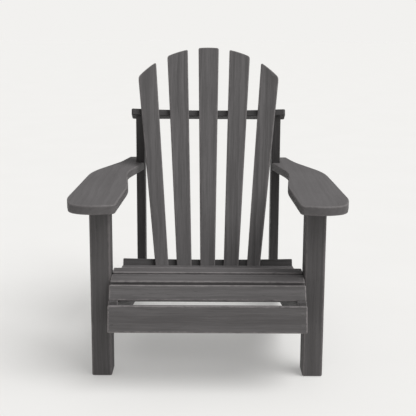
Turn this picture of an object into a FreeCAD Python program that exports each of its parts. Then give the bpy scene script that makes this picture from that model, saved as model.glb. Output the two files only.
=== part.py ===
import FreeCAD, Part
import math
import os

# A fixed-frame adirondack chair in stained wood, in millimetres and degrees.
# +Z is up and the sitter faces -Y.  X is the distance from the middle plane.
# The origin is on the floor under the middle of the chair's box.
# A depth, d, runs back from the front faces of the front legs.

# ---- driving dimensions ----
OVERALL_DEPTH = 910.0
FRONT_REACH = 104.0
REAR_D = OVERALL_DEPTH - FRONT_REACH
LEG_FRONT_Y = FRONT_REACH - OVERALL_DEPTH / 2

EDGE_ROUND = 2.5
LEG_ROUND = 4.5

LEG_INNER_X = 266.0
LEG_WIDTH = 56.0
LEG_DEPTH = 64.0
FOOT_CHAMFER = 4.0

ARM_TOP_Z = 508.0
ARM_THICK = 25.4
ARM_ROUND = 3.5
LEG_TOP_Z = ARM_TOP_Z - ARM_THICK

STRINGER_THICK = 26.0
STRINGER_INNER_X = LEG_INNER_X - STRINGER_THICK
STRINGER_MID_X = LEG_INNER_X - STRINGER_THICK / 2
STRINGER_TOUCHDOWN_D = 752.0
STRINGER_FRONT_Z = 160.0
TAIL_HEIGHT = 88.0
TAIL_ROUND = 32.0

BOARD_HALF = LEG_INNER_X - 0.5
SLAT_THICK = 20.0
SEAT_SLAT_WIDTH = 43.0
# Front top corner (d, z) and rise towards the back of each seat slat, front to back.
SEAT_SLATS = [
    (-61.1, 242.0, 62.1),
    (-19.0, 282.0, 10.5),
    (36.5, 290.8, 0.0),
    (85.0, 288.0, -17.5),
    (131.5, 273.3, -18.5),
    (177.8, 257.9, -18.0),
    (224.3, 243.0, -15.5),
    (271.5, 231.5, -6.5),
]

APRON_LOW_D = -FRONT_REACH
APRON_LOW_Z = 167.0
APRON_WIDTH = 72.0
APRON_THICK = 20.0
APRON_LEAN = 13.0
APRON_SCREWS = (0.28, 0.72)

# The back is built upright in its own frame and then leant back.
# There, y is 0 on the middle slat's face and z runs up the slats.
RECLINE = 26.0
BACK_FOOT_D = 333.0
BACK_FOOT_Z = 225.0
BACK_CURVE = 1900.0
# How deep the slats are let into the rails.
HOUSING = 1.0
RAIL_FRONT_Y = SLAT_THICK - HOUSING
BACK_SLAT_LOW_Z = -24.0
ARCH_TOP_Z = 736.0
ARCH_RADIUS = 303.0
ARCH_CENTRE_Z = ARCH_TOP_Z - ARCH_RADIUS
# X of each slat's foot, fan angle, width at the foot, growth in width per mm of length, and
# rounding of its outer top corner.
BACK_SLATS = [
    ("outer_left", -145.0, -5.4, 41.0, 0.033, 20.0),
    ("inner_left", -74.3, -2.5, 46.5, 0.032, 11.0),
    ("centre", 0.0, 0.0, 46.5, 0.030, 6.0),
    ("inner_right", 74.3, 2.5, 46.5, 0.032, 11.0),
    ("outer_right", 145.0, 5.4, 41.0, 0.033, 20.0),
]

LOWER_RAIL_TOP = 18.0
LOWER_RAIL_THICK = 32.0
LOWER_RAIL_DEPTH = 60.0
LOWER_RAIL_SCREW_SHARE = 0.4
LOWER_RAIL_END_ROUND = 3.0
UPPER_RAIL_TOP = 518.0
UPPER_RAIL_THICK = 21.0
UPPER_RAIL_DEPTH = 31.0
UPPER_RAIL_HALF = 254.0
UPPER_RAIL_END_ROUND = 6.0
UPPER_RAIL_SCREW_SHARE = 0.45

UPRIGHT_FRONT_D = 565.0
UPRIGHT_DEPTH = 60.0
UPRIGHT_THICK = 28.0
UPRIGHT_INNER_X = STRINGER_INNER_X - UPRIGHT_THICK
UPRIGHT_MID_X = STRINGER_INNER_X - UPRIGHT_THICK / 2
UPRIGHT_FOOT_Z = 45.0

# Arm outline on the +X side: corners as (X, d) with the radius that rounds each one.
ARM_REAR_D = 677.0
ARM_OUTLINE = [
    (STRINGER_INNER_X, ARM_REAR_D, 0.0),
    (STRINGER_INNER_X, UPRIGHT_FRONT_D, 0.0),
    (213.0, UPRIGHT_FRONT_D, 0.0),
    (254.0, 390.0, 250.0),
    (231.0, 175.0, 500.0),
    (243.0, -77.0, 15.0),
    (312.0, -92.0, 100.0),
    (366.0, -70.0, 45.0),
    (383.0, 12.0, 200.0),
    (368.0, 395.0, 350.0),
    (293.0, 578.0, 300.0),
    (271.0, ARM_REAR_D, 7.0),
]

SCREW_RADIUS = 2.5
SCREW_HEAD_RADIUS = 4.5
SCREW_HEAD_DEPTH = 3.0
SCREW_POINT = 4.0
SCREW_TIP_RADIUS = 0.5
PLUG_RADIUS = 5.0
PLUG_DEPTH = 6.0
FASTENER_GAP = 0.1
SCREW_BITE = 25.0
BACK_SCREW_BITE = 13.0
ARM_SCREWS = (0.3, 0.7)

BOLT_RADIUS = 4.0
BOLT_HEAD_RADIUS = 9.5
BOLT_HEAD_HEIGHT = 4.5
BOLT_HOLE_GAP = 0.25
BOLT_END = 3.0
WASHER_RADIUS = 9.0
WASHER_THICK = 1.6
NUT_ACROSS_FLATS = 13.0
NUT_THICK = 6.5
LAG_HEAD_HEIGHT = 5.5
LAG_BITE = 40.0
LEG_BOLTS = [(20.0, 232.0), (44.0, 165.0)]
UPRIGHT_BOLTS = [(583.0, 62.0), (607.0, 104.0)]

DOWEL_RADIUS = 5.0
DOWEL_IN_LEG = 30.0
DOWEL_IN_ARM = 14.0
DOWEL_SPACING = 28.0

X_AXIS = FreeCAD.Vector(1, 0, 0)
Z_AXIS = FreeCAD.Vector(0, 0, 1)
BACK_PLACE = FreeCAD.Placement(
    FreeCAD.Vector(0, LEG_FRONT_Y + BACK_FOOT_D, BACK_FOOT_Z),
    FreeCAD.Rotation(X_AXIS, -RECLINE),
)


# ---- small helpers ----
def at(x, d, z):
    """The point at width x, depth d behind the legs' front faces and height z."""
    return FreeCAD.Vector(x, LEG_FRONT_Y + d, z)


def step(point, angle, along, down=0.0):
    """A (d, z) point moved along a line rising at angle, and square to it, downwards."""
    rise = math.radians(angle)
    d = point[0] + along * math.cos(rise) + down * math.sin(rise)
    z = point[1] + along * math.sin(rise) - down * math.cos(rise)
    return (d, z)


def crossing(point_a, angle_a, point_b, angle_b):
    """Where two (d, z) lines meet."""
    slope_a = math.tan(math.radians(angle_a))
    slope_b = math.tan(math.radians(angle_b))
    d = (point_b[1] - point_a[1] + slope_a * point_a[0] - slope_b * point_b[0]) / (slope_a - slope_b)
    return (d, point_a[1] + slope_a * (d - point_a[0]))


def prism(profile, x_low, x_high):
    """A (d, z) outline extruded from x_low to x_high."""
    points = [at(x_low, d, z) for d, z in profile]
    face = Part.Face(Part.makePolygon(points + points[:1]))
    return face.extrude(FreeCAD.Vector(x_high - x_low, 0, 0))


def round_edges(shape, radius):
    """The shape with every edge rounded."""
    return shape.makeFillet(radius, shape.Edges)


def cross_board(corner, angle, width, thick):
    """A board across the chair: corner is its front top edge, and it rises at angle."""
    back = step(corner, angle, width)
    profile = [corner, back, step(back, angle, 0, thick), step(corner, angle, 0, thick)]
    return round_edges(prism(profile, -BOARD_HALF, BOARD_HALF), EDGE_ROUND)


def mirrored(shape):
    """The same piece on the other side of the chair."""
    return shape.mirror(FreeCAD.Vector(0, 0, 0), X_AXIS)


def group(shapes):
    return Part.makeCompound(shapes)


def both_sides(shapes):
    return shapes + [mirrored(shape) for shape in shapes]


def drill(shape, tools):
    return shape.cut(tools)


# ---- fasteners ----
def screw(head, direction, length, gap=0.0):
    """A countersunk screw with its head's face at head; gap makes it the hole instead."""
    shank_end = length - SCREW_POINT
    radius = SCREW_RADIUS + gap
    cone = Part.makeCone(SCREW_HEAD_RADIUS + gap, radius, SCREW_HEAD_DEPTH, head, direction)
    shank = Part.makeCylinder(radius, shank_end, head, direction)
    tip = head + direction * shank_end
    point = Part.makeCone(radius, SCREW_TIP_RADIUS + gap, SCREW_POINT + gap, tip, direction)
    return cone.fuse([shank, point]).removeSplitter()


def plugged_screw(face_point, direction, length):
    """The screw, its wooden plug flush with the face, and the hole for both."""
    head = face_point + direction * PLUG_DEPTH
    plug = Part.makeCylinder(PLUG_RADIUS - FASTENER_GAP, PLUG_DEPTH - FASTENER_GAP, face_point, direction)
    bore = Part.makeCylinder(PLUG_RADIUS, PLUG_DEPTH + 1, face_point - direction, direction)
    hole = bore.fuse(screw(head, direction, length, FASTENER_GAP))
    return screw(head, direction, length), plug, hole


def hexagon(face, direction, thick):
    """A six-sided nut or bolt head standing on face, without a bore."""
    corner = NUT_ACROSS_FLATS / math.sqrt(3)
    ring = []
    for index in range(7):
        turn = math.radians(60 * index)
        ring.append(face + FreeCAD.Vector(0, corner * math.cos(turn), corner * math.sin(turn)))
    return Part.Face(Part.makePolygon(ring)).extrude(direction * thick)


def washer_at(face, direction):
    """A flat washer standing on face."""
    washer = Part.makeCylinder(WASHER_RADIUS, WASHER_THICK, face, direction)
    return washer.cut(Part.makeCylinder(BOLT_RADIUS + BOLT_HOLE_GAP, WASHER_THICK, face, direction))


def carriage_bolt(head_face, grip):
    """A domed bolt pointing to -X with its washer and nut, and the hole for it."""
    inward = FreeCAD.Vector(-1, 0, 0)
    length = grip + WASHER_THICK + NUT_THICK + BOLT_END
    ball = (BOLT_HEAD_RADIUS ** 2 + BOLT_HEAD_HEIGHT ** 2) / (2 * BOLT_HEAD_HEIGHT)
    centre = head_face + inward * (ball - BOLT_HEAD_HEIGHT)
    slab = Part.makeCylinder(BOLT_HEAD_RADIUS + 1, BOLT_HEAD_HEIGHT + 1, head_face, X_AXIS)
    dome = Part.makeSphere(ball, centre).common(slab)
    shank = Part.makeCylinder(BOLT_RADIUS, length, head_face, inward)
    bolt = dome.fuse(shank).removeSplitter()
    washer_face = head_face + inward * grip
    nut_face = washer_face + inward * WASHER_THICK
    bore_radius = BOLT_RADIUS + BOLT_HOLE_GAP
    nut = hexagon(nut_face, inward, NUT_THICK)
    nut = nut.cut(Part.makeCylinder(bore_radius, NUT_THICK, nut_face, inward))
    hole = Part.makeCylinder(bore_radius, grip + 2, head_face + X_AXIS, inward)
    return bolt, washer_at(washer_face, inward), nut, hole


def lag_bolt(head_face, grip):
    """A hex-headed bolt pointing to +X, screwed into the leg, with its washer and blind hole."""
    outward = FreeCAD.Vector(-1, 0, 0)
    under = head_face + outward * WASHER_THICK
    length = WASHER_THICK + grip + LAG_BITE
    shank = Part.makeCylinder(BOLT_RADIUS, length, under, X_AXIS)
    bolt = hexagon(under, outward, LAG_HEAD_HEIGHT).fuse(shank).removeSplitter()
    depth = grip + LAG_BITE + FASTENER_GAP + 1
    hole = Part.makeCylinder(BOLT_RADIUS + BOLT_HOLE_GAP, depth, head_face - X_AXIS, X_AXIS)
    return bolt, washer_at(head_face, outward), hole


# ---- seat ----
def seat_slat(corner_d, corner_z, rise):
    return cross_board((corner_d, corner_z), rise, SEAT_SLAT_WIDTH, SLAT_THICK)


def seat_fixings():
    """Screws, plugs and holes: one at each end of each seat slat."""
    sets = []
    for corner_d, corner_z, rise in SEAT_SLATS:
        middle = step((corner_d, corner_z), rise, SEAT_SLAT_WIDTH / 2)
        turn = math.radians(rise)
        direction = FreeCAD.Vector(0, math.sin(turn), -math.cos(turn))
        length = SLAT_THICK - PLUG_DEPTH + SCREW_BITE
        sets.append(plugged_screw(at(STRINGER_MID_X, *middle), direction, length))
    return sets


def apron_board():
    """The leaning board across the front ends of the stringers."""
    low = (APRON_LOW_D, APRON_LOW_Z)
    return cross_board(low, 90 - APRON_LEAN, APRON_WIDTH, APRON_THICK)


def apron_fixings():
    sets = []
    for share in APRON_SCREWS:
        spot = step((APRON_LOW_D, APRON_LOW_Z), 90 - APRON_LEAN, share * APRON_WIDTH)
        lean = math.radians(APRON_LEAN)
        direction = FreeCAD.Vector(0, math.cos(lean), -math.sin(lean))
        length = APRON_THICK - PLUG_DEPTH + SCREW_BITE
        sets.append(plugged_screw(at(STRINGER_MID_X, *spot), direction, length))
    return sets


# ---- stringers, which carry the seat and reach the floor behind ----
def stringer_outline():
    apron_foot = step((APRON_LOW_D, APRON_LOW_Z), 90 - APRON_LEAN, 0, APRON_THICK)
    first, second = SEAT_SLATS[0], SEAT_SLATS[1]
    first_back = step(first[:2], first[2], 0, SLAT_THICK)
    second_back = step(second[:2], second[2], 0, SLAT_THICK)
    nose = crossing(apron_foot, 90 - APRON_LEAN, first[:2], first[2] - 90)
    crest = crossing(first_back, first[2], second_back, second[2])
    foot_front = (apron_foot[0] + (STRINGER_FRONT_Z - apron_foot[1]) * math.tan(math.radians(APRON_LEAN)),
                  STRINGER_FRONT_Z)
    outline = [foot_front, nose, first_back, crest, step(second_back, second[2], SEAT_SLAT_WIDTH)]
    for corner_d, corner_z, rise in SEAT_SLATS[2:]:
        under = step((corner_d, corner_z), rise, 0, SLAT_THICK)
        outline += [under, step(under, rise, SEAT_SLAT_WIDTH)]
    outline += rail_underside()
    outline += [(REAR_D, TAIL_HEIGHT), (REAR_D, 0.0), (STRINGER_TOUCHDOWN_D, 0.0)]
    return outline


def rail_underside():
    """The two (d, z) ends of the lower rail's underside, at the side of the chair."""
    forward = BOARD_HALF ** 2 / (2 * BACK_CURVE)
    points = []
    for y in (RAIL_FRONT_Y - forward, SLAT_THICK + LOWER_RAIL_DEPTH):
        local = FreeCAD.Vector(0, y, LOWER_RAIL_TOP - LOWER_RAIL_THICK)
        world = BACK_PLACE.multVec(local)
        points.append((world.y - LEG_FRONT_Y, world.z))
    return points


def stringer():
    body = prism(stringer_outline(), STRINGER_INNER_X, LEG_INNER_X)
    tail = [edge for edge in body.Edges
            if abs(edge.BoundBox.YMin - (LEG_FRONT_Y + REAR_D)) < 0.01
            and abs(edge.BoundBox.ZMin - TAIL_HEIGHT) < 0.01
            and edge.BoundBox.XLength > STRINGER_THICK / 2
            and edge.BoundBox.YLength < 0.01]
    return body.makeFillet(TAIL_ROUND, tail)


# ---- the fanned back ----
def line_to_arch(x_foot, tilt):
    """Where a slat's edge, leaving x_foot at tilt, meets the arch."""
    slope = math.tan(math.radians(tilt))
    a = 1 + slope ** 2
    b = x_foot * slope - ARCH_CENTRE_Z
    c = x_foot ** 2 + ARCH_CENTRE_Z ** 2 - ARCH_RADIUS ** 2
    z = (-b + math.sqrt(b ** 2 - a * c)) / a
    return FreeCAD.Vector(x_foot + slope * z, 0, z)


def back_slat(x_foot, fan, width, growth, corner):
    """One tapered slat in the back's own frame, its top cut to the common arch, and the
    square-edged block that cuts its housings in the rails."""
    splay = math.degrees(math.atan(growth / 2))
    edges = []
    for side in (-1, 1):
        x_edge = x_foot + side * width / 2
        tilt = fan + side * splay
        low = FreeCAD.Vector(x_edge + math.tan(math.radians(tilt)) * BACK_SLAT_LOW_Z, 0, BACK_SLAT_LOW_Z)
        edges.append((low, line_to_arch(x_edge, tilt)))
    (low_left, top_left), (low_right, top_right) = edges
    x_mid = (top_left.x + top_right.x) / 2
    crown = FreeCAD.Vector(x_mid, 0, ARCH_CENTRE_Z + math.sqrt(ARCH_RADIUS ** 2 - x_mid ** 2))
    wire = Part.Wire([
        Part.LineSegment(low_left, low_right).toShape(),
        Part.LineSegment(low_right, top_right).toShape(),
        Part.Arc(top_right, crown, top_left).toShape(),
        Part.LineSegment(top_left, low_left).toShape(),
    ])
    block = Part.Face(wire).extrude(FreeCAD.Vector(0, SLAT_THICK, 0))
    slat = block.copy()
    outer = [edge for edge in slat.Edges
             if edge.BoundBox.YLength > SLAT_THICK / 2
             and edge.BoundBox.ZMin > ARCH_CENTRE_Z
             and abs(edge.BoundBox.Center.x) >= abs(x_mid)]
    slat = slat.makeFillet(corner, outer)
    slat = round_edges(slat, EDGE_ROUND)
    x_rail = x_foot + math.tan(math.radians(fan)) * UPPER_RAIL_TOP
    x_typical = (x_foot + x_rail) / 2
    turn = math.degrees(math.atan(-x_typical / BACK_CURVE))
    pivot = FreeCAD.Vector(x_typical, SLAT_THICK, 0)
    for shape in (slat, block):
        shape.rotate(pivot, Z_AXIS, turn)
        shape.translate(FreeCAD.Vector(0, -x_typical ** 2 / (2 * BACK_CURVE), 0))
    return slat, block


def curved_rail(half, depth, top, thick, end_round):
    """A rail behind the slats: straight at the back, hollowed along its front edge."""
    front_middle = FreeCAD.Vector(0, RAIL_FRONT_Y, top)
    hollow = half ** 2 / (2 * BACK_CURVE)
    left = FreeCAD.Vector(-half, RAIL_FRONT_Y - hollow, top)
    right = FreeCAD.Vector(half, RAIL_FRONT_Y - hollow, top)
    back_y = SLAT_THICK + depth
    wire = Part.Wire([
        Part.Arc(left, front_middle, right).toShape(),
        Part.LineSegment(right, FreeCAD.Vector(half, back_y, top)).toShape(),
        Part.LineSegment(FreeCAD.Vector(half, back_y, top), FreeCAD.Vector(-half, back_y, top)).toShape(),
        Part.LineSegment(FreeCAD.Vector(-half, back_y, top), left).toShape(),
    ])
    rail = Part.Face(wire).extrude(FreeCAD.Vector(0, 0, -thick))
    corners = [edge for edge in rail.Edges if edge.BoundBox.ZLength > thick / 2]
    rail = rail.makeFillet(end_round, corners)
    return round_edges(rail, EDGE_ROUND)


def leant(shape):
    """A piece of the back put in its place on the chair."""
    moved = shape.copy()
    moved.Placement = BACK_PLACE.multiply(moved.Placement)
    return moved


def back_screw_set(x_at_rail, z, depth):
    """A screw from a rail's back edge into the slat in front of it, and its hole."""
    head = FreeCAD.Vector(x_at_rail, SLAT_THICK + depth, z)
    forward = FreeCAD.Vector(0, -1, 0)
    length = depth + BACK_SCREW_BITE + x_at_rail ** 2 / (2 * BACK_CURVE)
    return screw(head, forward, length), screw(head, forward, length, FASTENER_GAP)


def rail_screw_set(x, y, top, thick, bite):
    """A screw down through a rail's top face into what carries it, and its hole."""
    head = FreeCAD.Vector(x, y, top)
    down = FreeCAD.Vector(0, 0, -1)
    return screw(head, down, thick + bite), screw(head, down, thick + bite, FASTENER_GAP)


# ---- uprights, legs and arms ----
def upright():
    """The post behind the back, its head cut to the slope of the upper rail."""
    under = BACK_PLACE.multVec(FreeCAD.Vector(0, SLAT_THICK, UPPER_RAIL_TOP - UPPER_RAIL_THICK))
    slope = math.tan(math.radians(RECLINE))
    profile = []
    for d in (UPRIGHT_FRONT_D, UPRIGHT_FRONT_D + UPRIGHT_DEPTH):
        profile.append((d, under.z - slope * (LEG_FRONT_Y + d - under.y)))
    profile += [(UPRIGHT_FRONT_D + UPRIGHT_DEPTH, UPRIGHT_FOOT_Z), (UPRIGHT_FRONT_D, UPRIGHT_FOOT_Z)]
    post = prism(profile, UPRIGHT_INNER_X, STRINGER_INNER_X)
    long_edges = [edge for edge in post.Edges if edge.BoundBox.ZLength > LEG_TOP_Z]
    return post.makeFillet(EDGE_ROUND, long_edges)


def front_leg():
    leg = Part.makeBox(LEG_WIDTH, LEG_DEPTH, LEG_TOP_Z, at(LEG_INNER_X, 0, 0))
    leg = leg.makeFillet(LEG_ROUND, [edge for edge in leg.Edges if edge.BoundBox.ZLength > 1])
    foot = [edge for edge in leg.Edges if edge.BoundBox.ZMax < 1]
    return leg.makeChamfer(FOOT_CHAMFER, foot)


def rounded_outline(corners, z):
    """A closed wire at height z of straight runs joined by tangent arcs."""
    arcs = []
    for index, (x, d, radius) in enumerate(corners):
        here = at(x, d, z)
        before = at(*corners[index - 1][:2], z)
        after = at(*corners[(index + 1) % len(corners)][:2], z)
        back = (before - here).normalize()
        on = (after - here).normalize()
        half = back.getAngle(on) / 2
        reach = radius / math.tan(half)
        middle = here + (back + on).normalize() * (radius / math.sin(half) - radius)
        arcs.append((here + back * reach, middle, here + on * reach))
    edges = []
    for index, (start, middle, end) in enumerate(arcs):
        edges.append(Part.LineSegment(arcs[index - 1][2], start).toShape())
        if start.distanceToPoint(end) > 0.01:
            edges.append(Part.Arc(start, middle, end).toShape())
    return Part.Wire(edges)


def arm():
    """The paddle arm: wide in front, narrowed and notched to meet the upright behind."""
    outline = rounded_outline(ARM_OUTLINE, LEG_TOP_Z)
    blank = Part.Face(outline).extrude(FreeCAD.Vector(0, 0, ARM_THICK))
    rounded = [edge for edge in blank.Edges
               if edge.BoundBox.ZLength < 1
               and (edge.BoundBox.XMax > STRINGER_INNER_X + 1
                    or edge.BoundBox.YMin < LEG_FRONT_Y + UPRIGHT_FRONT_D - 1)]
    return blank.makeFillet(ARM_ROUND, rounded)


def arm_dowels(gap):
    """Dowels between a leg's head and the arm, or with a gap, the holes for them."""
    dowels = []
    middle = LEG_INNER_X + LEG_WIDTH / 2
    for side in (-0.5, 0.5):
        low = at(middle + side * DOWEL_SPACING, LEG_DEPTH / 2, LEG_TOP_Z - DOWEL_IN_LEG - gap)
        length = DOWEL_IN_LEG + DOWEL_IN_ARM + 2 * gap
        dowels.append(Part.makeCylinder(DOWEL_RADIUS + gap, length, low, Z_AXIS))
    return dowels


def arm_rear_screws(gap):
    """Screws through an upright into the arm's notch, or the holes for them."""
    screws = []
    for share in ARM_SCREWS:
        d = UPRIGHT_FRONT_D + share * UPRIGHT_DEPTH
        head = at(UPRIGHT_INNER_X, d, ARM_TOP_Z - ARM_THICK / 2)
        screws.append(screw(head, X_AXIS, UPRIGHT_THICK + SCREW_BITE, gap))
    return screws


# ---- assembly ----
def build():
    nodes = {}

    seat_sets = seat_fixings()
    apron_sets = apron_fixings()
    leg_sets = []
    for d, z in LEG_BOLTS:
        leg_sets.append(lag_bolt(at(STRINGER_INNER_X, d, z), STRINGER_THICK))
    post_sets = []
    for d, z in UPRIGHT_BOLTS:
        post_sets.append(carriage_bolt(at(LEG_INNER_X, d, z), STRINGER_THICK + UPRIGHT_THICK))

    lower_z = LOWER_RAIL_TOP - LOWER_RAIL_THICK / 2
    upper_z = UPPER_RAIL_TOP - UPPER_RAIL_THICK / 2
    slats = {}
    blocks = []
    lower_back = []
    upper_back = []
    for name, x_foot, fan, width, growth, corner in BACK_SLATS:
        slats[name], block = back_slat(x_foot, fan, width, growth, corner)
        blocks.append(block)
        slope = math.tan(math.radians(fan))
        lower_back.append(back_screw_set(x_foot + slope * lower_z, lower_z, LOWER_RAIL_DEPTH))
        upper_back.append(back_screw_set(x_foot + slope * upper_z, upper_z, UPPER_RAIL_DEPTH))

    lower_mid = SLAT_THICK + LOWER_RAIL_DEPTH * LOWER_RAIL_SCREW_SHARE
    upper_mid = SLAT_THICK + UPPER_RAIL_DEPTH * UPPER_RAIL_SCREW_SHARE
    lower_down = rail_screw_set(STRINGER_MID_X, lower_mid, LOWER_RAIL_TOP, LOWER_RAIL_THICK, SCREW_BITE)
    upper_down = rail_screw_set(UPRIGHT_MID_X, upper_mid, UPPER_RAIL_TOP, UPPER_RAIL_THICK, SCREW_BITE)

    # Seat slats and apron, drilled at both ends.
    for index, (corner_d, corner_z, rise) in enumerate(SEAT_SLATS):
        holes = both_sides([seat_sets[index][2]])
        nodes["seat_slat_%d" % (index + 1)] = drill(seat_slat(corner_d, corner_z, rise), holes)
    nodes["front_apron"] = drill(apron_board(), both_sides([item[2] for item in apron_sets]))

    # Back slats and the two rails they are screwed to; the slats are let into the rails.
    back_holes = [item[1] for item in lower_back + upper_back]
    for name, slat in slats.items():
        nodes["back_slat_" + name] = leant(drill(slat, back_holes))
    lower = curved_rail(BOARD_HALF, LOWER_RAIL_DEPTH, LOWER_RAIL_TOP, LOWER_RAIL_THICK,
                        LOWER_RAIL_END_ROUND)
    lower = lower.cut(blocks + back_holes + both_sides([lower_down[1]]))
    upper = curved_rail(UPPER_RAIL_HALF, UPPER_RAIL_DEPTH, UPPER_RAIL_TOP, UPPER_RAIL_THICK,
                        UPPER_RAIL_END_ROUND)
    upper = upper.cut(blocks + back_holes + both_sides([upper_down[1]]))
    nodes["lower_back_rail"] = leant(lower)
    nodes["upper_back_rail"] = leant(upper)

    # The side frames: stringer, front leg, upright and arm.
    rail_hole = leant(lower_down[1])
    stringer_holes = [item[2] for item in seat_sets + apron_sets]
    side_holes = [item[2] for item in leg_sets] + [item[3] for item in post_sets]
    side = {
        "stringer": drill(stringer(), stringer_holes + side_holes + [rail_hole]),
        "front_leg": drill(front_leg(), [item[2] for item in leg_sets] + arm_dowels(FASTENER_GAP)),
        "rear_upright": drill(upright(), [item[3] for item in post_sets]
                              + arm_rear_screws(FASTENER_GAP) + [leant(upper_down[1])]),
        "arm": drill(arm(), arm_dowels(FASTENER_GAP) + arm_rear_screws(FASTENER_GAP)),
    }
    for name, shape in side.items():
        nodes[name + "_right"] = shape
        nodes[name + "_left"] = mirrored(shape)

    # Fasteners, one node for each identical kind.
    nodes["seat_screws"] = group(both_sides([item[0] for item in seat_sets]))
    nodes["seat_plugs"] = group(both_sides([item[1] for item in seat_sets]))
    nodes["apron_screws"] = group(both_sides([item[0] for item in apron_sets]))
    nodes["apron_plugs"] = group(both_sides([item[1] for item in apron_sets]))
    nodes["leg_bolts"] = group(both_sides([item[0] for item in leg_sets]))
    nodes["upright_bolts"] = group(both_sides([item[0] for item in post_sets]))
    nodes["bolt_washers"] = group(both_sides([item[1] for item in leg_sets + post_sets]))
    nodes["bolt_nuts"] = group(both_sides([item[2] for item in post_sets]))
    nodes["lower_back_screws"] = group([leant(item[0]) for item in lower_back])
    nodes["upper_back_screws"] = group([leant(item[0]) for item in upper_back])
    nodes["lower_rail_screws"] = group([leant(item) for item in both_sides([lower_down[0]])])
    nodes["upper_rail_screws"] = group([leant(item) for item in both_sides([upper_down[0]])])
    nodes["arm_dowels"] = group(both_sides(arm_dowels(0.0)))
    nodes["arm_screws"] = group(both_sides(arm_rear_screws(0.0)))
    return nodes


def main():
    os.makedirs("parts", exist_ok=True)
    for name, shape in build().items():
        shape.exportStep("parts/%s.step" % name)
        box = shape.BoundBox
        print("%-24s solids %2d valid %s x %7.1f %7.1f y %7.1f %7.1f z %6.1f %6.1f" % (
            name, len(shape.Solids), shape.isValid(),
            box.XMin, box.XMax, box.YMin, box.YMax, box.ZMin, box.ZMax))


main()
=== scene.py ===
import math

import bmesh
import bpy
import numpy as np
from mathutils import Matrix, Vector, noise


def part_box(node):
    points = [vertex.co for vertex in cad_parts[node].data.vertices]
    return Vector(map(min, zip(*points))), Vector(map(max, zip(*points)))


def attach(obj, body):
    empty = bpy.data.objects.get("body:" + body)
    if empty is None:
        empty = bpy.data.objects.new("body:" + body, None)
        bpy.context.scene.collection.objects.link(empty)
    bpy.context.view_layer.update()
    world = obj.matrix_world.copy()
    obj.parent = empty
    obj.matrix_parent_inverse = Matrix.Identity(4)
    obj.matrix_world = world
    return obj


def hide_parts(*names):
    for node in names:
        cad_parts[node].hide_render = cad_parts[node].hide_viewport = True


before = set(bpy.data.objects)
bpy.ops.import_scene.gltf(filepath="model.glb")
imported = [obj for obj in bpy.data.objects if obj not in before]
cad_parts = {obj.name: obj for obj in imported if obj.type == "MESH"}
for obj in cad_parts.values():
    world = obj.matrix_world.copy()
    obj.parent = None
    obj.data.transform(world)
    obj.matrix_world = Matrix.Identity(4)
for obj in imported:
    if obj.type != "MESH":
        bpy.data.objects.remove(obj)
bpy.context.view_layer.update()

MM = 0.001
X_AXIS, Y_AXIS, Z_AXIS = Vector((1, 0, 0)), Vector((0, 1, 0)), Vector((0, 0, 1))
scene = bpy.context.scene

# ---------------------------------------------------------------- camera
CHAIR_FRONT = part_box("front_leg_left")[0][1]
CAMERA_BACK_OFF = 2.238
CAMERA_HEIGHT = 1.004
CAMERA_PITCH = 10.3
CAMERA_ROLL = 0.27
CAMERA_LENS = 73.56
CAMERA_SENSOR = 36
CAMERA_SHIFT = (-0.002, -0.10)

camera = bpy.data.objects.new("camera", bpy.data.cameras.new("camera"))
camera.data.sensor_width = CAMERA_SENSOR
camera.data.lens = CAMERA_LENS
camera.data.shift_x, camera.data.shift_y = CAMERA_SHIFT
camera.location = (0, CHAIR_FRONT - CAMERA_BACK_OFF, CAMERA_HEIGHT)
camera.rotation_euler = (math.radians(90 - CAMERA_PITCH), -math.radians(CAMERA_ROLL), 0)
scene.collection.objects.link(camera)
scene.camera = camera
scene.view_settings.view_transform = "Standard"


# ---------------------------------------------------------------- materials
# How fast each layer of the stain changes: (along the grain, across it, through the board).
DRIFT = (5, 14, 14)
BROAD = (1.6, 55, 55)
STREAKS = (4.5, 230, 230)
FIBRES = (26, 950, 950)
PORES = (34, 620, 620)
BLOTCHES = (6, 16, 16)
# This layer breaks up the pale edges, which are partly wear and partly a painted highlight.
WEAR_AND_HIGHLIGHT_PATCHES = (60, 140, 140)
# How much each layer counts in the stain's lightness.
BROAD_SHARE = 0.34
STREAK_SHARE = 0.5
FIBRE_SHARE = 0.22
RING_SHARE = 0.12
PORE_SHARE = 0.55
# How far the darkest and lightest streaks are from a wood's tone, as shares of it.
DARK_STREAK = 0.22
LIGHT_STREAK = 0.2
# The stain in the pores, in the blotches and on the worn edges, as multiples of the tone. The pale stain on
# the worn edges is partly wear and partly a painted highlight.
PORE_TONE = 0.4
BLOTCH_TONE = 0.62
WEAR_AND_HIGHLIGHT_TONE = 2.5
# Colours: the stain's cast, then the unstained beech and the coated steel.
STAIN_CAST = (1.02, 0.985, 1.0)
BEECH_LIGHT = (0.58, 0.42, 0.26, 1)
BEECH_MIDDLE = (0.42, 0.28, 0.16, 1)
BEECH_FLECK = (0.25, 0.15, 0.08, 1)
STEEL_DARK = (0.05, 0.05, 0.052, 1)
STEEL_RUBBED = (0.15, 0.15, 0.155, 1)


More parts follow.
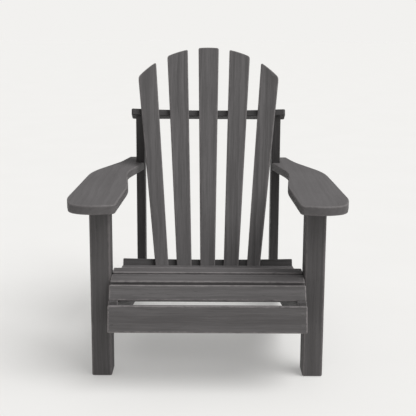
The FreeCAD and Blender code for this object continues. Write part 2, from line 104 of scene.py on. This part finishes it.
class Graph:
    """A material's nodes, written as expressions."""

    def __init__(self, name):
        self.material = bpy.data.materials.new(name)
        self.material.use_nodes = True
        self.tree = self.material.node_tree
        self.shader = self.tree.nodes["Principled BSDF"]

    def node(self, kind, **settings):
        made = self.tree.nodes.new(kind)
        for key, value in settings.items():
            setattr(made, key, value)
        return made

    def link(self, value, socket):
        if isinstance(value, bpy.types.NodeSocket):
            self.tree.links.new(value, socket)
        else:
            socket.default_value = value

    def math(self, operation, a, b=0.0, clamp=False):
        made = self.node("ShaderNodeMath", operation=operation, use_clamp=clamp)
        self.link(a, made.inputs[0])
        self.link(b, made.inputs[1])
        return made.outputs[0]

    def scaled(self, vector, scale, offset=(0, 0, 0)):
        made = self.node("ShaderNodeMapping")
        self.link(vector, made.inputs["Vector"])
        made.inputs["Scale"].default_value = scale
        made.inputs["Location"].default_value = offset
        return made.outputs[0]

    def noise(self, vector, scale=1.0, detail=2.0, roughness=0.5, distortion=0.0):
        made = self.node("ShaderNodeTexNoise")
        self.link(vector, made.inputs["Vector"])
        made.inputs["Scale"].default_value = scale
        made.inputs["Detail"].default_value = detail
        made.inputs["Roughness"].default_value = roughness
        made.inputs["Distortion"].default_value = distortion
        return made.outputs["Fac"]

    def spread(self, value, low, high, to_low=0.0, to_high=1.0):
        made = self.node("ShaderNodeMapRange", interpolation_type="SMOOTHSTEP")
        self.link(value, made.inputs["Value"])
        made.inputs["From Min"].default_value = low
        made.inputs["From Max"].default_value = high
        made.inputs["To Min"].default_value = to_low
        made.inputs["To Max"].default_value = to_high
        return made.outputs[0]

    def mix(self, share, a, b):
        made = self.node("ShaderNodeMix", data_type="RGBA")
        self.link(share, made.inputs["Factor"])
        self.link(a, made.inputs["A"])
        self.link(b, made.inputs["B"])
        return made.outputs["Result"]

    def bump(self, height, distance, strength=1.0):
        made = self.node("ShaderNodeBump")
        self.link(height, made.inputs["Height"])
        made.inputs["Distance"].default_value = distance
        made.inputs["Strength"].default_value = strength
        self.tree.links.new(made.outputs[0], self.shader.inputs["Normal"])


def grey(level, warmth=0.0):
    """A stain colour of that lightness with a faint magenta cast. Warmth moves it towards red."""
    red, green, blue = STAIN_CAST
    return (level * (red + warmth), level * green, level * (blue - warmth * 0.3), 1)


def stained_wood(name, tone, along=None, offset=(0, 0, 0), contrast=1.0, wear_and_highlight_strength=0.62):
    """Charcoal stain over lengthwise grain. along is None where the piece carries its own grain
    coordinates, or else the object's axis that the grain follows. contrast sets how strongly the
    grain shows, and rub how pale the worn edges are, as wear and as a painted highlight."""
    g = Graph(name)
    if along is None:
        grain = g.node("ShaderNodeAttribute", attribute_name="grain").outputs["Vector"]
        wear_and_highlight = g.node("ShaderNodeAttribute", attribute_name="wear_and_highlight").outputs["Fac"]
    else:
        turn = {"X": (0, 0, 0), "Z": (0, math.radians(90), 0)}[along]
        made = g.node("ShaderNodeMapping")
        made.inputs["Rotation"].default_value = turn
        made.inputs["Location"].default_value = offset
        g.link(g.node("ShaderNodeTexCoord").outputs["Object"], made.inputs["Vector"])
        grain = made.outputs[0]
        wear_and_highlight = None

    drift = g.noise(g.scaled(grain, DRIFT), detail=1)
    sway = g.node("ShaderNodeCombineXYZ")
    for socket, reach in (("Y", 12 * MM), ("Z", 8 * MM)):
        g.link(g.math("MULTIPLY", g.math("SUBTRACT", drift, 0.5), reach), sway.inputs[socket])
    bent = g.node("ShaderNodeVectorMath", operation="ADD")
    g.link(grain, bent.inputs[0])
    g.link(sway.outputs[0], bent.inputs[1])
    bent = bent.outputs[0]

    broad = g.noise(g.scaled(bent, BROAD), detail=3, roughness=0.6)
    streaks = g.noise(g.scaled(bent, STREAKS), detail=3, roughness=0.62)
    fibres = g.noise(g.scaled(bent, FIBRES), detail=2, roughness=0.6)
    pores = g.noise(g.scaled(bent, PORES, (7, 3, 5)), detail=1)
    pores = g.spread(pores, 0.66, 0.8)
    rings = g.node("ShaderNodeTexWave", wave_type="RINGS", rings_direction="X", wave_profile="SAW")
    g.link(g.scaled(bent, (0.55, 1, 1)), rings.inputs["Vector"])
    rings.inputs["Scale"].default_value = 22
    rings.inputs["Distortion"].default_value = 2.4
    rings.inputs["Detail"].default_value = 2
    rings.inputs["Detail Scale"].default_value = 0.6
    rings = rings.outputs["Fac"]

    light = g.math("MULTIPLY", broad, BROAD_SHARE)
    for layer, share in ((streaks, STREAK_SHARE), (fibres, FIBRE_SHARE), (rings, RING_SHARE)):
        light = g.math("ADD", light, g.math("MULTIPLY", layer, share))
    darkest = grey(tone * (1 - DARK_STREAK * contrast), 0.03)
    lightest = grey(tone * (1 + LIGHT_STREAK * contrast), 0.02)
    stain = g.mix(g.spread(light, 0.42, 0.76), darkest, lightest)
    stain = g.mix(g.math("MULTIPLY", pores, PORE_SHARE), stain, grey(tone * PORE_TONE))
    blotch = g.noise(g.scaled(grain, BLOTCHES, (3, 1, 8)), detail=2)
    stain = g.mix(g.spread(blotch, 0.35, 0.7, 0.0, 0.16), stain, grey(tone * BLOTCH_TONE, 0.04))

    roughness = g.spread(g.math("ADD", streaks, g.math("MULTIPLY", blotch, 0.4)), 0.4, 0.95, 0.52, 0.72)
    # Paler stain along the edges: partly edge wear, partly a painted highlight where the rounded edges catch
    # the light.
    if wear_and_highlight is not None:
        worn_and_highlit = g.noise(g.scaled(grain, WEAR_AND_HIGHLIGHT_PATCHES, (2, 9, 4)), detail=3, roughness=0.65)
        worn_and_highlit = g.spread(g.math("ADD", g.math("MULTIPLY", wear_and_highlight, 0.62), worn_and_highlit), 0.78, 1.12)
        stain = g.mix(g.math("MULTIPLY", worn_and_highlit, wear_and_highlight_strength), stain, grey(tone * WEAR_AND_HIGHLIGHT_TONE, 0.05))
    g.link(stain, g.shader.inputs["Base Color"])
    g.link(roughness, g.shader.inputs["Roughness"])
    g.shader.inputs["Specular IOR Level"].default_value = 0.35
    height = g.math("ADD", g.math("MULTIPLY", streaks, 0.6), g.math("MULTIPLY", fibres, 0.5))
    height = g.math("SUBTRACT", height, g.math("MULTIPLY", pores, 0.5))
    g.bump(height, 0.0007, 0.55)
    return g.material


def coated_steel(name):
    """Dark coated steel with fine pitting and rubbed patches."""
    g = Graph(name)
    place = g.node("ShaderNodeTexCoord").outputs["Object"]
    patch = g.noise(place, 160, 3, 0.6)
    pits = g.noise(place, 1400, 2)
    colour = g.mix(g.spread(patch, 0.35, 0.7), STEEL_DARK, STEEL_RUBBED)
    g.link(colour, g.shader.inputs["Base Color"])
    g.link(g.spread(patch, 0.3, 0.75, 0.5, 0.32), g.shader.inputs["Roughness"])
    g.shader.inputs["Metallic"].default_value = 0.9
    g.bump(pits, 0.0002, 0.4)
    return g.material


def raw_beech(name):
    """Unstained beech: straw brown with short darker flecks."""
    g = Graph(name)
    place = g.node("ShaderNodeTexCoord").outputs["Object"]
    fleck = g.noise(g.scaled(place, (900, 900, 120)), detail=2)
    tone = g.noise(g.scaled(place, (260, 260, 12)), detail=2)
    colour = g.mix(g.spread(tone, 0.3, 0.7), BEECH_MIDDLE, BEECH_LIGHT)
    colour = g.mix(g.spread(fleck, 0.6, 0.75, 0, 0.5), colour, BEECH_FLECK)
    g.link(colour, g.shader.inputs["Base Color"])
    g.link(g.spread(tone, 0.3, 0.7, 0.5, 0.65), g.shader.inputs["Roughness"])
    g.bump(fleck, 0.0003, 0.4)
    return g.material


# ---------------------------------------------------------------- boards
# Steps round each worn edge, steps round each outline corner, and the spacing along a straight run.
ARC_STEPS = 5
CORNER_STEPS = 5
RUN_STEP = 12 * MM
# Reading the outline: runs shorter than SMALL_ARC belong to a rounded corner, a turn above SHARP is
# a corner, a bend below STRAIGHT is none, and JOIN is the widest gap between two chains of edges.
SMALL_ARC = 0.6 * MM
SHARP = math.radians(25)
STRAIGHT = 0.003
JOIN = 6 * MM
SAME_PLACE = 0.01 * MM
SAME_VERTEX = 0.001 * MM
LEVEL_EDGE = 0.002 * MM
WALL_LEAN = 0.02
# The share of a short run that a corner's rounding may take up.
CORNER_ROOM = 0.45
# Rows beside the worn edge: SUPPORT keeps the flat face flat, and the edge wear with its painted highlight
# has gone at FADE.
SUPPORT = 1.4 * MM
FADE = 2.2 * MM
MERGE = 0.004 * MM
# The edge wear with its painted highlight (0 none, 1 full) beside a worn edge, on the board's side, and at
# least and at most on it.
WEAR_AND_HIGHLIGHT_BESIDE = 0.45
WEAR_AND_HIGHLIGHT_ON_SIDE = 0.35
WEAR_AND_HIGHLIGHT_LEAST, WEAR_AND_HIGHLIGHT_EXTRA = 0.7, 0.3
# The worn radius is even up to EVEN_TO from a corner, and drifts freely EASE further on.
EVEN_TO = 9 * MM
EASE = 16 * MM
# The front legs: steps up the leg, and (height in mm, inset in mm, edge wear with painted highlight) over the
# chamfered foot.
LEG_STEPS = 26
FOOT_TOP = 6 * MM
FOOT_INSET = 4 * MM
FOOT_WEAR_AND_HIGHLIGHT = 0.6
WEAR_AND_HIGHLIGHT_AT_CORNER = 0.95
LEG_CORNERS = ((1, 1), (-1, 1), (-1, -1), (1, -1))
FOOT_PROFILE = ((0.3, 3.2, 0.9), (1.2, 1.6, 0.9), (2.6, 0.55, 0.8), (4.2, 0.0, 0.6), (6, 0.0, 0.3))
# The plugs: sides, and (share of the radius, height in mm over the plug) from the skirt to the top.
PLUG_SIDES = 28
PLUG_PROFILE = ((0.97, -5.5), (0.97, -0.4), (0.97, 0.02), (0.93, 0.08), (0.8, 0.12), (0.5, 0.15), (0.2, 0.16))
# The plugs' share of the pale edge stain, partly wear and partly painted highlight.
PLUG_WEAR_AND_HIGHLIGHT = 0.2


def board_loop(node):
    """(thickness axis, low level, high level, corners of the outline in order) of a flat CAD board."""
    bm = bmesh.new()
    bm.from_mesh(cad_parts[node].data)
    bmesh.ops.remove_doubles(bm, verts=bm.verts, dist=SAME_VERTEX)
    areas = {}
    for face in bm.faces:
        n = face.normal
        sign = 1 if max(n, key=abs) > 0 else -1
        key = tuple(round(c * sign, 2) for c in n)
        total = areas.setdefault(key, Vector())
        total += n * sign * face.calc_area()
    through = max(areas.values(), key=lambda v: v.length).normalized()
    heights = [v.co.dot(through) for v in bm.verts]
    middle = (min(heights) + max(heights)) / 2
    beside = through.orthogonal().normalized()
    beyond = through.cross(beside)
    spots, links = {}, {}
    for edge in bm.edges:
        a, b = (v.co.dot(through) for v in edge.verts)
        walls = [f for f in edge.link_faces if abs(f.normal.dot(through)) < WALL_LEAN]
        if abs(a - b) > LEVEL_EDGE or not walls or a < middle:
            continue
        p, q = (tuple(round(v.co.dot(axis), 5) for axis in (beside, beyond)) for v in edge.verts)
        for vert, spot in zip(edge.verts, (p, q)):
            spots[spot] = vert.co.copy()
        if p != q:
            links.setdefault(p, set()).add(q)
            links.setdefault(q, set()).add(p)
    bm.free()
    chains = []
    while links:
        ends = [spot for spot, others in links.items() if len(others) == 1]
        here = ends[0] if ends else next(iter(links))
        chain = [here]
        while links.get(here):
            ahead = links[here].pop()
            links[ahead].discard(here)
            chain.append(ahead)
            here = ahead
        links = {spot: others for spot, others in links.items() if others}
        chains.append([spots[spot] for spot in chain])
    chains.sort(key=lambda c: -sum((p - q).length for p, q in zip(c, c[1:])))
    corners = chains.pop(0)
    while (corners[0] - corners[-1]).length > SAME_PLACE and chains:
        flat = [(c, c[0]) for c in chains] + [(c[::-1], c[-1]) for c in chains]
        nearest = min(flat, key=lambda item: (item[1] - corners[-1]).length)[0]
        chains = [c for c in chains if c[0] not in (nearest[0], nearest[-1])]
        corners += nearest
        if (corners[0] - corners[-1]).length < JOIN:
            break
    corners = [c + through * (middle - c.dot(through)) for c in corners]
    if (corners[0] - corners[-1]).length < SAME_PLACE:
        corners.pop()
    return through, min(heights), max(heights), corners


def to_plane(points, origin, along, across):
    return [Vector(((p - origin).dot(along), (p - origin).dot(across))) for p in points]


def area_of(ring):
    return sum(p.x * q.y - q.x * p.y for p, q in zip(ring, ring[1:] + ring[:1])) / 2


def bends_only(ring):
    """The outline without the points that lie on a straight run."""
    kept = []
    for before, here, after in zip(ring[-1:] + ring[:-1], ring, ring[1:] + ring[:1]):
        a, b = (here - before).normalized(), (after - here).normalized()
        if abs(a.cross(b)) > STRAIGHT:
            kept.append(here)
    return kept


def squared(ring):
    """The outline with each small arc turned back into the corner that it rounds."""
    count = len(ring)
    short = [(ring[(i + 1) % count] - ring[i]).length < SMALL_ARC for i in range(count)]
    start = next(i for i in range(count) if not short[i])
    out, i = [], start
    while i < start + count:
        if not short[i % count]:
            i += 1
            first = i
            while short[i % count] and i < start + count:
                i += 1
            p, q = ring[(first - 1) % count], ring[first % count]
            r, t = ring[i % count], ring[(i + 1) % count]
            if i > first:
                u, v = (q - p).normalized(), (t - r).normalized()
                out.append(q + u * ((r - q).cross(v) / u.cross(v)))
            else:
                out.append(q)
    return out


class Outline:
    """The edge of a board as points that can all move inward without crossing.

    A corner's point moves along the mitre once it is deeper than the corner's rounding, and a point
    on a straight run stays between the two corners' insets."""

    def __init__(self, ring, corner):
        self.points = []
        self.travel = []
        self.sharp = []
        count = len(ring)
        runs = [ring[(i + 1) % count] - ring[i] for i in range(count)]
        turns = [math.atan2(runs[i - 1].cross(runs[i]), runs[i - 1].dot(runs[i])) for i in range(count)]
        rounds = []
        for i, turn in enumerate(turns):
            room = CORNER_ROOM * min(runs[i - 1].length, runs[i].length)
            rounds.append(min(corner, room / math.tan(turn / 2)) if turn > SHARP else 0.0)
        gone = 0.0
        for i, here in enumerate(ring):
            a, b = runs[i - 1].normalized(), runs[i].normalized()
            na, nb = Vector((-a.y, a.x)), Vector((-b.y, b.x))
            mitre = (na + nb) / (1 + na.dot(nb))
            if abs(turns[i]) > SHARP:
                self.sharp.append(gone)
            for k in range(CORNER_STEPS + 1 if rounds[i] else 1):
                share = k / CORNER_STEPS
                spoke = -(na.slerp(nb, share) if rounds[i] else na)
                self.points.append(("corner", here, mitre, rounds[i], spoke))
                self.travel.append(gone)
            length = runs[i].length
            ends = (math.tan(turns[i] / 2), math.tan(turns[(i + 1) % count] / 2))
            radii = (rounds[i], rounds[(i + 1) % count])
            low, high = ends[0] * radii[0], length - ends[1] * radii[1]
            if length > 3 * SUPPORT:
                parts = max(1, round((high - low) / RUN_STEP))
                places = [low + SUPPORT] if radii[0] else []
                places += [low + (high - low) * k / parts for k in range(1, parts)]
                places += [high - SUPPORT] if radii[1] else []
                for place in places:
                    self.points.append(("run", here, b, nb, place, length, ends, radii))
                    self.travel.append(gone + place)
            gone += length
        self.length = gone

    def at(self, depths):
        """All the points in order, each moved inward by its own depth."""
        out = []
        for point, depth in zip(self.points, depths):
            if point[0] == "corner":
                _, here, mitre, radius, spoke = point
                if depth < radius:
                    out.append(here + mitre * radius + spoke * (radius - depth))
                else:
                    out.append(here + mitre * depth)
            else:
                _, here, b, nb, place, length, ends, radii = point
                low = max(0.0, max(radii[0], depth) * ends[0])
                high = length - max(0.0, max(radii[1], depth) * ends[1])
                out.append(here + b * min(max(place, low), high) + nb * depth)
        return out

    def away(self, i):
        """How far point i is from the nearest sharp corner, along the edge."""
        if not self.sharp:
            return self.length
        gaps = [abs(self.travel[i] - s) for s in self.sharp]
        return min(min(g, self.length - g) for g in gaps)


def linked(bm, name, material):
    """A new object in the scene from that mesh."""
    mesh = bpy.data.meshes.new(name)
    bm.to_mesh(mesh)
    bm.free()
    mesh.materials.append(material)
    made = bpy.data.objects.new(name, mesh)
    scene.collection.objects.link(made)
    return made


def piece(bm, name, material, node):
    """A visible piece that stands in for a CAD node."""
    made = linked(bm, name, material)
    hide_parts(node)
    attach(made, "root")
    return made


class Rings:
    """A closed mesh made of rings of points, each with its grain place and its share of edge wear and painted
    highlight.
    """

    def __init__(self, shift):
        self.bm = bmesh.new()
        self.grain = self.bm.verts.layers.float_vector.new("grain")
        self.wear_and_highlight = self.bm.verts.layers.float.new("wear_and_highlight")
        self.shift = shift
        self.rings = []

    def ring(self, places, grains, wear_and_highlight):
        made = []
        for i, (p, g) in enumerate(zip(places, grains)):
            vert = self.bm.verts.new(p)
            vert[self.grain] = Vector(g) + self.shift
            vert[self.wear_and_highlight] = wear_and_highlight[i] if isinstance(wear_and_highlight, list) else wear_and_highlight
            made.append(vert)
        self.rings.append(made)

    def finish(self, name, material, node):
        for low, high in zip(self.rings, self.rings[1:]):
            count = len(low)
            for i in range(count):
                j = (i + 1) % count
                self.bm.faces.new((low[i], low[j], high[j], high[i]))
        self.bm.faces.new(list(reversed(self.rings[0])))
        self.bm.faces.new(self.rings[-1])
        bmesh.ops.remove_doubles(self.bm, verts=self.bm.verts, dist=MERGE)
        bmesh.ops.dissolve_degenerate(self.bm, edges=self.bm.edges, dist=MERGE)
        bmesh.ops.triangulate(self.bm, faces=[f for f in self.bm.faces if len(f.verts) > 4])
        bmesh.ops.recalc_face_normals(self.bm, faces=self.bm.faces)
        for face in self.bm.faces:
            face.smooth = True
        return piece(self.bm, name, material, node)


def rounding_at(place, seed, away, low, high):
    """The worn edge radius there: even at a corner, and drifting slowly along an edge."""
    n = noise.noise(place * 9 + Vector((seed * 3.1, 0, 0)))
    n += 0.5 * noise.noise(place * 34 + Vector((0, seed * 1.7, 0)))
    n *= min(1, max(0, (away - EVEN_TO) / EASE))
    return low + (high - low) * min(1, max(0, 0.5 + 0.75 * n))


def board(node, name, material, along, seed, radius=(2.5, 3.7), corner=3.8):
    """A flat board from its CAD outline, with worn rounded edges and grain along its length."""
    through, low, high, corners = board_loop(node)
    middle = (low + high) / 2
    half = (high - low) / 2
    along = (along - through * along.dot(through)).normalized()
    across = through.cross(along)
    origin = sum(corners, Vector()) / len(corners)
    origin += through * (middle - origin.dot(through))
    ring = to_plane(corners, origin, along, across)
    if area_of(ring) < 0:
        ring.reverse()
    edge = Outline(squared(bends_only(ring)), corner * MM)
    count = len(edge.points)
    draw = np.random.default_rng(seed)
    rings = Rings(Vector((draw.uniform(1, 40), draw.uniform(-0.07, 0.07),
                          draw.choice([-1, 1]) * draw.uniform(0.02, 0.07))))

    def add(depths, levels, wear_and_highlight):
        points = edge.at(depths)
        places = [origin + along * p.x + across * p.y + through * z for p, z in zip(points, levels)]
        rings.ring(places, [(p.x, p.y, z) for p, z in zip(points, levels)], wear_and_highlight)

    for side in (-1, 1):
        sizes = []
        for i, p in enumerate(edge.at([0.0] * count)):
            spot = origin + along * p.x + across * p.y + through * half * side
            sizes.append(rounding_at(spot, seed + side, edge.away(i), *radius) * MM)
        rows = [
            ([r + FADE for r in sizes], [half] * count, 0.0),
            ([r + SUPPORT for r in sizes], [half] * count, WEAR_AND_HIGHLIGHT_BESIDE),
        ]
        for k in range(ARC_STEPS + 1):
            angle = math.radians(90 * k / ARC_STEPS)
            depths = [r * (1 - math.sin(angle)) for r in sizes]
            levels = [half - r * (1 - math.cos(angle)) for r in sizes]
            rows.append((depths, levels, WEAR_AND_HIGHLIGHT_LEAST + WEAR_AND_HIGHLIGHT_EXTRA * math.sin(2 * angle)))
        rows.append(([0.0] * count, [half - r - SUPPORT for r in sizes], WEAR_AND_HIGHLIGHT_ON_SIDE))
        if side < 0:
            for depths, levels, wear_and_highlight in rows:
                add(depths, [-z for z in levels], wear_and_highlight)
            add([0.0] * count, [0.0] * count, 0.0)
        else:
            for depths, levels, wear_and_highlight in reversed(rows):
                add(depths, levels, wear_and_highlight)
    return rings.finish(name, material, node)


def post(node, name, material, seed, corner=(3.6, 5.4)):
    """A square leg: worn round corners, a chamfered foot and a flat top under the arm."""
    low, high = (Vector(v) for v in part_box(node))
    middle = (low + high) / 2
    wide, deep, tall = high - low
    draw = np.random.default_rng(seed)
    rings = Rings(Vector((draw.uniform(1, 40), draw.uniform(-0.06, 0.06), draw.uniform(0.02, 0.06))))

    def section(z, inset, wear_and_highlight_all=0.0):
        points, wear_and_highlight = [], []
        for turn, (cx, cy) in enumerate(LEG_CORNERS):
            r = rounding_at(Vector((cx * wide / 2, cy * deep / 2, z)), seed, 1.0, *corner) * MM
            hx, hy = wide / 2 - inset, deep / 2 - inset
            centre = Vector((cx * (hx - r), cy * (hy - r)))
            for k in range(CORNER_STEPS + 1):
                a = math.radians(90 * turn + 90 * k / CORNER_STEPS)
                points.append(centre + Vector((math.cos(a), math.sin(a))) * r)
                wear_and_highlight.append(max(wear_and_highlight_all, WEAR_AND_HIGHLIGHT_AT_CORNER))
            ahead = LEG_CORNERS[(turn + 1) % 4]
            run = Vector((ahead[0] - cx, ahead[1] - cy)) / 2
            length = 2 * (hx if run.x else hy)
            for t, w in ((r + SUPPORT, WEAR_AND_HIGHLIGHT_BESIDE), (r + FADE, 0.0), (length / 2, 0.0),
                         (length - r - FADE - 1 * MM, 0.0), (length - r - SUPPORT - 0.6 * MM, WEAR_AND_HIGHLIGHT_BESIDE)):
                points.append(Vector((cx * hx, cy * hy)) + run * t)
                wear_and_highlight.append(max(wear_and_highlight_all, w))
        places = [Vector((middle.x + p.x, middle.y + p.y, z)) for p in points]
        rings.ring(places, [(z, p.x, p.y) for p in points], wear_and_highlight)

    section(low.z, FOOT_INSET, FOOT_WEAR_AND_HIGHLIGHT)
    for z, inset, wear_and_highlight in FOOT_PROFILE:
        section(low.z + z * MM, inset * MM, wear_and_highlight)
    for k in range(1, LEG_STEPS + 1):
        section(low.z + FOOT_TOP + (tall - FOOT_TOP) * k / LEG_STEPS, 0.0)
    return rings.finish(name, material, node)


def islands_of(bm):
    """The separate closed parts of a mesh, each as a list of its vertices, always in the same order."""
    seen, islands = set(), []
    for start in bm.verts:
        if start in seen:
            continue
        seen.add(start)
        todo, island = [start], []
        while todo:
            vert = todo.pop()
            island.append(vert)
            near = [e.other_vert(vert) for e in vert.link_edges]
            near = [v for v in near if v not in seen]
            seen.update(near)
            todo += near
        islands.append(island)
    return islands


def plug_tops(node):
    """(centre, outward direction, radius) of each CAD plug's outer end."""
    bm = bmesh.new()
    bm.from_mesh(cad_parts[node].data)
    bmesh.ops.remove_doubles(bm, verts=bm.verts, dist=SAME_VERTEX)
    tops = []
    for island in islands_of(bm):
        sides = {}
        for face in dict.fromkeys(f for v in island for f in v.link_faces):
            key = tuple(round(c, 2) for c in face.normal)
            sides.setdefault(key, [0.0, face.normal.copy()])[0] += face.calc_area()
        caps = sorted(sides.values(), key=lambda item: -item[0])[:2]
        out = max((item[1] for item in caps), key=lambda n: n.z - n.y)
        tip = max(v.co.dot(out) for v in island)
        rim = [v.co for v in island if tip - v.co.dot(out) < SAME_PLACE]
        centre = sum(rim, Vector()) / len(rim)
        tops.append((centre, out, max((p - centre).length for p in rim)))
    bm.free()
    return tops


def plugs(node, name, material, seed):
    """Round wood plugs over the screw heads: a shallow dome with a rounded rim on each."""
    draw = np.random.default_rng(seed)
    bm = bmesh.new()
    grain = bm.verts.layers.float_vector.new("grain")
    wear_and_highlight = bm.verts.layers.float.new("wear_and_highlight")
    for centre, out, radius in plug_tops(node):
        turned = out.cross(X_AXIS)
        shift = Vector(draw.uniform(0, 3, 3))
        rows = []
        for reach, rise in PLUG_PROFILE:
            row = []
            for k in range(PLUG_SIDES):
                a = 2 * math.pi * k / PLUG_SIDES
                across = Vector((math.cos(a), math.sin(a), 0)) * radius * reach
                vert = bm.verts.new(centre + X_AXIS * across.x + turned * across.y + out * rise * MM)
                vert[grain] = across + shift
                vert[wear_and_highlight] = PLUG_WEAR_AND_HIGHLIGHT
                row.append(vert)
            rows.append(row)
        for low, high in zip(rows, rows[1:]):
            for k in range(PLUG_SIDES):
                j = (k + 1) % PLUG_SIDES
                bm.faces.new((low[k], low[j], high[j], high[k]))
        bm.faces.new(rows[-1])
        bm.faces.new(list(reversed(rows[0])))
    bmesh.ops.recalc_face_normals(bm, faces=bm.faces)
    for face in bm.faces:
        face.smooth = True
    return piece(bm, name, material, node)


# ---------------------------------------------------------------- pieces
SEAT_SLATS = 8
BACK_SLATS = ("outer_left", "inner_left", "centre", "inner_right", "outer_right")
STRINGER_RUN = Vector((0, 0.93, -0.3))
WOOD = {
    "arm_wood": stained_wood("arm_charcoal_stain", 0.096, contrast=0.55, wear_and_highlight_strength=0.2),
    "seat_wood": stained_wood("seat_charcoal_stain", 0.093, contrast=1.1, wear_and_highlight_strength=0.55),
    "back_wood": stained_wood("back_charcoal_stain", 0.084, contrast=1.45, wear_and_highlight_strength=0.4),
    "frame_wood": stained_wood("frame_charcoal_stain", 0.078, contrast=0.9, wear_and_highlight_strength=0.36),
}

for number in range(1, SEAT_SLATS + 1):
    board("seat_slat_%d" % number, "seat_board_%d" % number, WOOD["seat_wood"],
          X_AXIS, 10 + number)
plugs("seat_plugs", "seat_plug_discs", WOOD["seat_wood"], 80)
plugs("apron_plugs", "apron_plug_discs", WOOD["seat_wood"], 81)
board("front_apron", "apron_board", WOOD["seat_wood"], X_AXIS, 30)
for number, part in enumerate(BACK_SLATS):
    board("back_slat_" + part, "back_board_" + part, WOOD["back_wood"], Z_AXIS, 40 + number,
          radius=(2.5, 3.4), corner=4.0)
for number, side in enumerate(("left", "right")):
    board("arm_" + side, "arm_board_" + side, WOOD["arm_wood"], Y_AXIS, 50 + number,
          radius=(3.5, 4.5), corner=5.0)
    board("stringer_" + side, "stringer_board_" + side, WOOD["frame_wood"],
          STRINGER_RUN, 60 + number, radius=(1.8, 3.0), corner=3.0)
    post("front_leg_" + side, "leg_post_" + side, WOOD["frame_wood"], 70 + number)

# ---------------------------------------------------------------- CAD nodes that stay
# Painted shade: the rails and rear uprights take the charcoal stain at about half the boards' tone, standing
# in for the shade they sit in behind the back slats and the arms.
rail_stain_darkened_as_shade = stained_wood("rail_charcoal_stain_painted_shade", 0.046, "X", (0.3, 0.04, -0.02))
upright_stain_darkened_as_shade = stained_wood("upright_charcoal_stain_painted_shade", 0.056, "Z", (0.1, 0.05, 0.03))
steel = coated_steel("dark_coated_steel")
beech = raw_beech("raw_beech")
KEPT = {
    "lower_back_rail": rail_stain_darkened_as_shade, "upper_back_rail": rail_stain_darkened_as_shade,
    "rear_upright_left": upright_stain_darkened_as_shade, "rear_upright_right": upright_stain_darkened_as_shade,
    "arm_dowels": beech,
}
for name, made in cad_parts.items():
    is_metal = name.endswith(("screws", "bolts", "washers", "nuts"))
    if is_metal or name in KEPT:
        made.data.materials.clear()
        made.data.materials.append(steel if is_metal else KEPT[name])

# ---------------------------------------------------------------- studio
FLOOR_SIZE = 60.0
BACKDROP_RADIUS = 28.0
PAPER = (0.887, 0.879, 0.862, 1)
FLOOR_DARK = (0.486, 0.482, 0.473, 1)
FLOOR_LIGHT = (0.494, 0.49, 0.482, 1)
FLOOR_GLOW = 0.335
SKY_BRIGHTEST = Vector((0.42, -0.1, 0.9))
SKY_SPAN = (-0.2, 1.0)
SKY_STRENGTH = (0.15, 0.80)
SKY_COLOUR = (1.0, 0.998, 0.99, 1)
KEY_DIRECTION = Vector((0.6, -0.3, 1.0))
KEY_STRENGTH = 2.4
KEY_ANGLE = 42


def pale_floor(name):
    """Matt pale paper that glows a little, so that the shadow on it stays soft and light."""
    g = Graph(name)
    place = g.node("ShaderNodeTexCoord").outputs["Object"]
    mottle = g.noise(place, 3, 3)
    colour = g.mix(g.spread(mottle, 0.3, 0.7), FLOOR_DARK, FLOOR_LIGHT)
    g.link(colour, g.shader.inputs["Base Color"])
    g.link(g.spread(mottle, 0.3, 0.7, 0.85, 0.95), g.shader.inputs["Roughness"])
    g.shader.inputs["Specular IOR Level"].default_value = 0.1
    g.shader.inputs["Emission Color"].default_value = PAPER
    g.shader.inputs["Emission Strength"].default_value = FLOOR_GLOW
    return g.material


def paper_backdrop(name):
    """Evenly lit paper that only shows behind the object and lights nothing."""
    g = Graph(name)
    g.shader.inputs["Base Color"].default_value = (0, 0, 0, 1)
    g.shader.inputs["Specular IOR Level"].default_value = 0.0
    g.shader.inputs["Emission Color"].default_value = PAPER
    g.shader.inputs["Emission Strength"].default_value = 1.0
    return g.material


def stage_piece(bm, name, material):
    """A part of the studio."""
    made = linked(bm, name, material)
    return made


grid = bmesh.new()
bmesh.ops.create_grid(grid, x_segments=40, y_segments=40, size=FLOOR_SIZE / 2)
stage_piece(grid, "studio_floor", pale_floor("studio_floor"))

dome = bmesh.new()
bmesh.ops.create_uvsphere(dome, u_segments=48, v_segments=24, radius=BACKDROP_RADIUS)
backdrop = stage_piece(dome, "studio_backdrop", paper_backdrop("studio_backdrop"))
for ray in ("diffuse", "glossy", "transmission", "volume_scatter", "shadow"):
    setattr(backdrop, "visible_" + ray, False)

world = bpy.data.worlds.new("studio")
world.use_nodes = True
sky = world.node_tree
place = sky.nodes.new("ShaderNodeTexCoord")
facing = sky.nodes.new("ShaderNodeVectorMath")
facing.operation = "DOT_PRODUCT"
facing.inputs[1].default_value = SKY_BRIGHTEST.normalized()
sky.links.new(place.outputs["Generated"], facing.inputs[0])
ramp = sky.nodes.new("ShaderNodeMapRange")
ramp.inputs["From Min"].default_value, ramp.inputs["From Max"].default_value = SKY_SPAN
ramp.inputs["To Min"].default_value, ramp.inputs["To Max"].default_value = SKY_STRENGTH
sky.links.new(facing.outputs["Value"], ramp.inputs["Value"])
sky.links.new(ramp.outputs[0], sky.nodes["Background"].inputs["Strength"])
sky.nodes["Background"].inputs["Color"].default_value = SKY_COLOUR
scene.world = world

key = bpy.data.objects.new("key", bpy.data.lights.new("key", "SUN"))
key.data.energy = KEY_STRENGTH
key.data.angle = math.radians(KEY_ANGLE)
key.rotation_euler = KEY_DIRECTION.to_track_quat("Z", "Y").to_euler()
scene.collection.objects.link(key)
